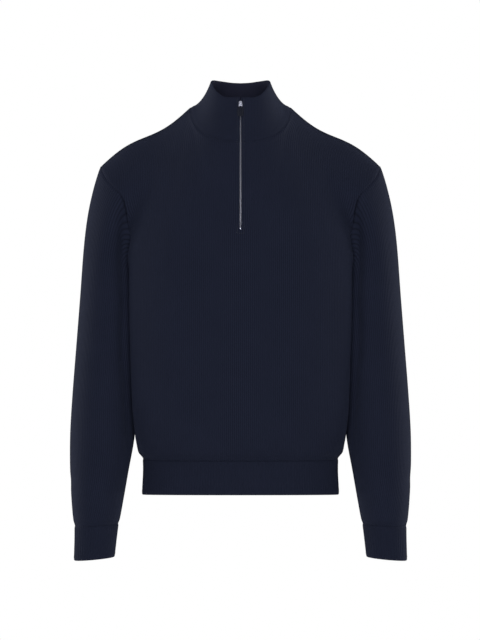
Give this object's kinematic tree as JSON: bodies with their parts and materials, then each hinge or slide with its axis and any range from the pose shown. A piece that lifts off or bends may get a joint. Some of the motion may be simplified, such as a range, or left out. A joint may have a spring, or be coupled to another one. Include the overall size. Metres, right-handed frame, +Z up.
{
  "type": "quarter zip sweater",
  "caption": "Fine knit sweater with a standing collar, a short zip down the front, set-in sleeves and ribbed hem and cuffs, filled out as if worn.",
  "frame": {"origin": "midway between the two neck points, level with them, where the shoulders of a wearer carry the sweater", "axes": "+Z up, towards the collar; -Y is the front with the zip; +X towards the sleeve on the left of the wearer"},
  "size_m": [0.5804, 0.2568, 0.8148],
  "materials": {
    "body_knit": "matte fine knit, dark navy",
    "rib_knit": "matte ribbed knit, dark navy",
    "zip_tape": "matte woven tape, near black navy",
    "zip_metal": "bright silver metal",
    "pull_leather": "dark leather, lightly polished"
  },
  "bodies": {
    "garment": {"front_panel": "body_knit", "back_panel": "body_knit", "sleeve_left": "body_knit", "sleeve_right": "body_knit", "collar": "body_knit", "hem_front": "rib_knit", "hem_back": "rib_knit", "cuff_left": "rib_knit", "cuff_right": "rib_knit", "zip_tape_left": "zip_tape", "zip_tape_right": "zip_tape", "zip_chain": "zip_metal", "zip_top_stop_left": "zip_metal", "zip_top_stop_right": "zip_metal", "zip_bottom_stop": "zip_metal", "zip_slider": "zip_metal"},
    "pull": {"pull_tab": "pull_leather", "pull_loop": "zip_metal"}
  },
  "joints": [
    {"name": "pull_swing", "type": "hinge", "parent": "garment", "child": "pull", "pos_m": [0, -0.08154, -0.00026], "axis": [-1, 0, 0], "range_deg": [0, 170]}
  ]
}
